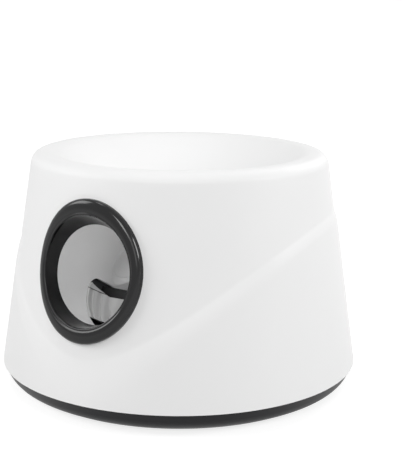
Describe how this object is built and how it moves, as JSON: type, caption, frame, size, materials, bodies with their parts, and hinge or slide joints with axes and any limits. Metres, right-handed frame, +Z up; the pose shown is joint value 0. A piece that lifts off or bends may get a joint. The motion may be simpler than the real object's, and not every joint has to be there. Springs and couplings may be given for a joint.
{
  "type": "automatic dog ball launcher",
  "caption": "Automatic ball launcher for dogs: a round tapered housing with a feed bowl on top, a ringed exit in the sloping side, and a spring striker drawn back by a geared motor.",
  "frame": {"origin": "centre of the housing's round footprint, on the floor it stands on", "axes": "+Z up, -Y towards the side the ball leaves from, +X to the right seen from behind the launcher"},
  "size_m": [0.2692, 0.2692, 0.1753],
  "materials": {
    "shell_white": "smooth semi-gloss white ABS",
    "base_grey": "satin dark grey ABS",
    "ring_black": "polished dark charcoal ABS",
    "tube_grey": "satin mid grey ABS",
    "striker_grey": "satin dark grey nylon",
    "chassis_black": "matt black ABS",
    "gear_white": "plain acetal",
    "steel": "zinc plated steel",
    "spring_steel": "plain spring steel",
    "bronze": "sintered bronze",
    "rubber": "matt rubber",
    "cell_wrap": "plain wrapped cell",
    "contact": "nickel plated spring contact",
    "board_green": "glass-fibre circuit board",
    "component": "moulded electronic parts",
    "speaker_black": "black pressed frame",
    "panel_grey": "satin dark grey ABS",
    "button_grey": "satin grey ABS",
    "lens": "frosted clear polycarbonate"
  },
  "bodies": {
    "housing": {"upper_shell": "shell_white", "feed_bowl": "shell_white", "base_screws": "steel", "rubber_feet": "rubber", "exit_ring": "ring_black", "ring_screws": "steel", "launch_barrel": "tube_grey", "feed_chute": "tube_grey", "ball_sensors": "component", "chassis_left": "chassis_black", "chassis_right": "chassis_black", "chassis_spacers": "steel", "chassis_screws": "steel", "shaft_bushes": "bronze", "stop_bumpers": "rubber", "spring_pins": "steel", "draw_springs": "spring_steel", "motor_can": "steel", "gearbox_plate": "chassis_black", "gearbox_cover": "chassis_black", "gearbox_screws": "steel", "gear_axles": "steel", "home_switch": "component", "switch_screw": "steel", "battery_cells": "cell_wrap", "battery_contacts": "contact", "main_board": "board_green", "board_parts": "component", "board_screws": "steel", "speaker": "speaker_black", "control_panel": "panel_grey", "indicator_lenses": "lens", "switch_board": "board_green", "panel_screws": "steel", "tact_switches": "component", "power_inlet": "component", "base_tray": "base_grey"},
    "carriage": {"striker_carriage": "chassis_black", "striker_head": "striker_grey", "head_screws": "steel"},
    "release": {"release_gear": "gear_white", "release_shaft": "steel", "drive_gear": "gear_white"},
    "middle": {"middle_gear": "gear_white"},
    "fast": {"fast_gear": "gear_white"},
    "rotor": {"motor_shaft": "steel", "motor_pinion": "bronze"},
    "power_key": {"power_button": "button_grey"},
    "distance_key": {"distance_button": "button_grey"},
    "door": {"battery_door": "base_grey"}
  },
  "joints": [
    {"name": "carriage_slide", "type": "slide", "parent": "housing", "child": "carriage", "axis": [0, 0.866, -0.5], "range_m": [0, 0.052], "stiffness_N_per_m": 800, "springref_m": -0.01, "deforming": ["draw_springs"]},
    {"name": "release_turn", "type": "hinge", "parent": "housing", "child": "release", "pos_m": [0.05, -0.00692, 0.02601], "axis": [1, 0, 0], "range_deg": [-198.63, 0]},
    {"name": "middle_turn", "type": "hinge", "parent": "housing", "child": "middle", "pos_m": [0.05, 0.01775, 0.03499], "axis": [1, 0, 0], "range_deg": [0, 496.57]},
    {"name": "fast_turn", "type": "hinge", "parent": "housing", "child": "fast", "pos_m": [0.05, 0.03684, 0.05408], "axis": [1, 0, 0], "range_deg": [-1737.98, 0]},
    {"name": "rotor_turn", "type": "hinge", "parent": "housing", "child": "rotor", "pos_m": [0.05, 0.04045, 0.07456], "axis": [1, 0, 0], "range_deg": [0, 5793.25]},
    {"name": "power_press", "type": "slide", "parent": "housing", "child": "power_key", "axis": [0, -0.989, -0.1481], "range_m": [0, 0.0015], "stiffness_N_per_m": 300, "springref_m": -0.001},
    {"name": "distance_press", "type": "slide", "parent": "housing", "child": "distance_key", "axis": [0, -0.989, -0.1481], "range_m": [0, 0.0015], "stiffness_N_per_m": 300, "springref_m": -0.001},
    {"name": "battery_door_hinge", "type": "hinge", "parent": "housing", "child": "door", "pos_m": [-0.0971, 0, 0.0025], "axis": [0, 1, 0], "range_deg": [0, 80]}
  ],
  "couplings": [
    {"joint": "release_turn", "follows": "carriage_slide", "rad_per_m": -66.667},
    {"joint": "middle_turn", "follows": "carriage_slide", "rad_per_m": 166.67},
    {"joint": "fast_turn", "follows": "carriage_slide", "rad_per_m": -583.33},
    {"joint": "rotor_turn", "follows": "carriage_slide", "rad_per_m": 1944.4}
  ]
}
